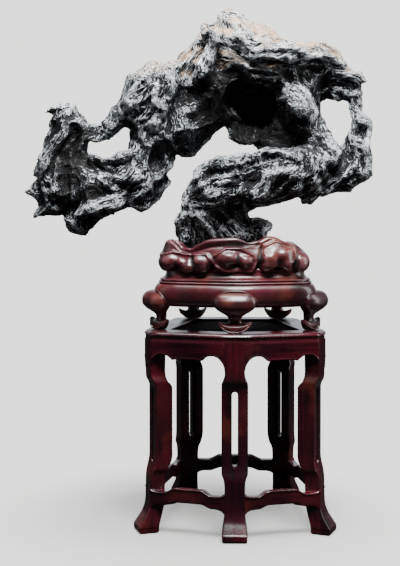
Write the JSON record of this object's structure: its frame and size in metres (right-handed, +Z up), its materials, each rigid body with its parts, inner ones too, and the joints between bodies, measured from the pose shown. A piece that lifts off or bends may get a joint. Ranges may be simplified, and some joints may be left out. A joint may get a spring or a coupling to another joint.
{
  "type": "scholars rock with stand",
  "caption": "Pierced dark stone of craggy arching form, set in a small carved wooden seat on a tall five-sided openwork stand, for display.",
  "frame": {"origin": "on the floor, under the middle of the whole object's bounding box", "axes": "+Z up, -Y towards the front (the side with a leg in its middle), +X to the viewer's right"},
  "size_m": [0.5196, 0.2821, 0.7525],
  "materials": {
    "dark_limestone": "weathered, dark grey with pale veins",
    "carved_rosewood": "dark red-brown, polished carving",
    "polished_rosewood": "dark red-brown, glossy",
    "blackened_panel": "near-black, satin"
  },
  "bodies": {
    "root": {"scholars_rock": "dark_limestone", "rock_seat": "carved_rosewood", "seat_belly": "carved_rosewood", "seat_leg_front": "carved_rosewood", "seat_leg_right": "carved_rosewood", "seat_leg_back_right": "carved_rosewood", "seat_leg_back_left": "carved_rosewood", "seat_leg_left": "carved_rosewood", "frame_front_right": "polished_rosewood", "frame_right": "polished_rosewood", "frame_back": "polished_rosewood", "frame_left": "polished_rosewood", "frame_front_left": "polished_rosewood", "apron_front_right": "polished_rosewood", "apron_right": "polished_rosewood", "apron_back": "polished_rosewood", "apron_left": "polished_rosewood", "apron_front_left": "polished_rosewood", "stretcher_front_right": "polished_rosewood", "stretcher_right": "polished_rosewood", "stretcher_back": "polished_rosewood", "stretcher_left": "polished_rosewood", "stretcher_front_left": "polished_rosewood", "top_panel": "blackened_panel", "stand_leg_front": "polished_rosewood", "stand_leg_right": "polished_rosewood", "stand_leg_back_right": "polished_rosewood", "stand_leg_back_left": "polished_rosewood", "stand_leg_left": "polished_rosewood"}
  },
  "joints": []
}
